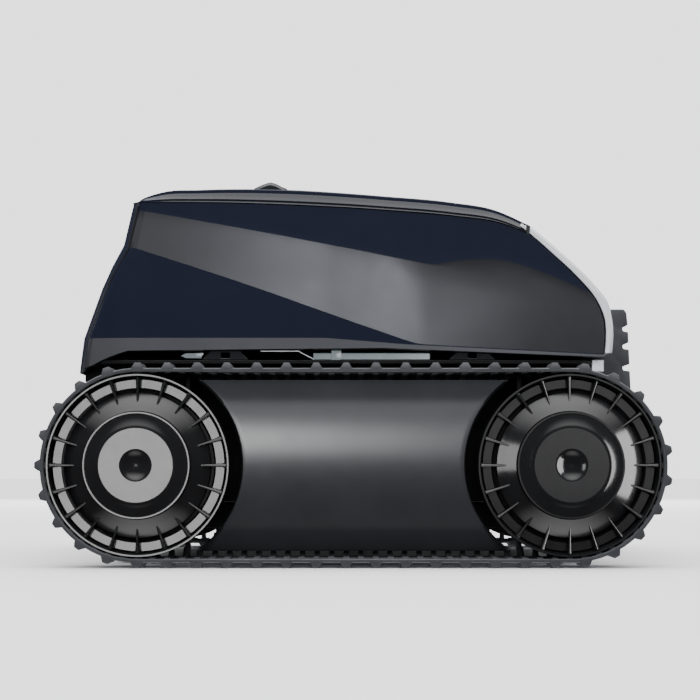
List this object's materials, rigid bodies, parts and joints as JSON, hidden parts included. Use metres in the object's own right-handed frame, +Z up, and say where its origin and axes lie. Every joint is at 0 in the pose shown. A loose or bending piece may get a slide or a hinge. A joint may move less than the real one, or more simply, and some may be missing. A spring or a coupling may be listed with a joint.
{
  "type": "tracked robot chassis",
  "caption": "Low tracked robot with toothed rubber tracks round ribbed wheels, bulged side covers, a hooded body with a hinged lid, silver visor, finned bumper and roller brushes.",
  "frame": {"origin": "centre of the footprint, on the plane that the track lugs stand on", "axes": "+X forward towards the visor, +Y to the robot's left, +Z up"},
  "size_m": [0.439, 0.42, 0.2932],
  "materials": {
    "track_rubber": "matt moulded rubber with a faint sheen",
    "wheel_plastic": "gloss black",
    "side_plastic": "gloss dark grey",
    "hood_paint": "gloss metallic navy black",
    "hull_plastic": "fine-textured black",
    "silver_trim": "satin silver",
    "steel": "turned",
    "filter_plastic": "moulded"
  },
  "bodies": {
    "chassis": {"battery_pack": "side_plastic", "carry_handle": "hull_plastic", "control_box": "hull_plastic", "equipment_tray": "hull_plastic", "filter_basket": "filter_plastic", "front_brush_pin": "steel", "front_bumper": "hull_plastic", "front_visor": "silver_trim", "hood_shell": "hood_paint", "hull_tub": "hull_plastic", "hull_deck": "hull_plastic", "right_front_brush_hanger": "hull_plastic", "right_rear_brush_hanger": "hull_plastic", "left_front_brush_hanger": "hull_plastic", "left_rear_brush_hanger": "hull_plastic", "right_motor_cradle": "hull_plastic", "left_motor_cradle": "hull_plastic", "left_drive_motor": "steel", "left_front_bearing": "steel", "left_front_hood_bracket": "side_plastic", "left_rear_bearing": "steel", "left_rear_hood_bracket": "side_plastic", "left_side_cover": "side_plastic", "left_side_rail": "silver_trim", "left_track": "track_rubber", "left_track_frame": "hull_plastic", "lid_hinge_pin": "steel", "pump_motor": "steel", "rear_brush_pin": "steel", "right_drive_motor": "steel", "right_front_bearing": "steel", "right_front_hood_bracket": "side_plastic", "right_rear_bearing": "steel", "right_rear_hood_bracket": "side_plastic", "right_side_cover": "side_plastic", "right_side_rail": "silver_trim", "right_track": "track_rubber", "right_track_frame": "hull_plastic", "visor_chin": "silver_trim"},
    "right_front_wheel_set": {"right_front_wheel": "wheel_plastic", "right_front_hub_cap": "wheel_plastic", "right_front_axle": "steel"},
    "right_rear_wheel_set": {"right_rear_wheel": "wheel_plastic", "right_rear_hub_cap": "wheel_plastic", "right_rear_axle": "steel"},
    "left_front_wheel_set": {"left_front_wheel": "wheel_plastic", "left_front_hub_cap": "wheel_plastic", "left_front_axle": "steel"},
    "left_rear_wheel_set": {"left_rear_wheel": "wheel_plastic", "left_rear_hub_cap": "wheel_plastic", "left_rear_axle": "steel"},
    "lid": {"top_lid": "hood_paint"},
    "button": {"power_button": "silver_trim"},
    "front_brush": {"front_roller_brush": "track_rubber"},
    "rear_brush": {"rear_roller_brush": "track_rubber"},
    "pump_impeller": {"impeller": "wheel_plastic"}
  },
  "joints": [
    {"name": "right_rear_wheel_spin", "type": "hinge", "parent": "chassis", "child": "right_rear_wheel_set", "pos_m": [-0.149, -0.2, 0.0708], "axis": [0, 1, 0], "continuous": true},
    {"name": "right_front_wheel_spin", "type": "hinge", "parent": "chassis", "child": "right_front_wheel_set", "pos_m": [0.149, -0.2, 0.0708], "axis": [0, 1, 0], "continuous": true},
    {"name": "left_rear_wheel_spin", "type": "hinge", "parent": "chassis", "child": "left_rear_wheel_set", "pos_m": [-0.149, 0.2, 0.0708], "axis": [0, 1, 0], "continuous": true},
    {"name": "left_front_wheel_spin", "type": "hinge", "parent": "chassis", "child": "left_front_wheel_set", "pos_m": [0.149, 0.2, 0.0708], "axis": [0, 1, 0], "continuous": true},
    {"name": "lid_hinge", "type": "hinge", "parent": "chassis", "child": "lid", "pos_m": [-0.161, 0, 0.2575], "axis": [0, -1, 0], "range_deg": [0, 95]},
    {"name": "button_press", "type": "slide", "parent": "lid", "child": "button", "axis": [0, 0, -1], "range_m": [0, 0.0025], "stiffness_N_per_m": 400, "springref_m": -0.002},
    {"name": "front_brush_spin", "type": "hinge", "parent": "chassis", "child": "front_brush", "pos_m": [0.163, 0, 0.03], "axis": [0, 1, 0], "continuous": true},
    {"name": "rear_brush_spin", "type": "hinge", "parent": "chassis", "child": "rear_brush", "pos_m": [-0.163, 0, 0.03], "axis": [0, 1, 0], "continuous": true},
    {"name": "impeller_spin", "type": "hinge", "parent": "chassis", "child": "pump_impeller", "pos_m": [-0.075, 0, 0.09], "axis": [0, 0, 1], "continuous": true}
  ],
  "couplings": [
    {"joint": "right_front_wheel_spin", "follows": "right_rear_wheel_spin", "ratio": 1},
    {"joint": "left_front_wheel_spin", "follows": "left_rear_wheel_spin", "ratio": 1}
  ]
}
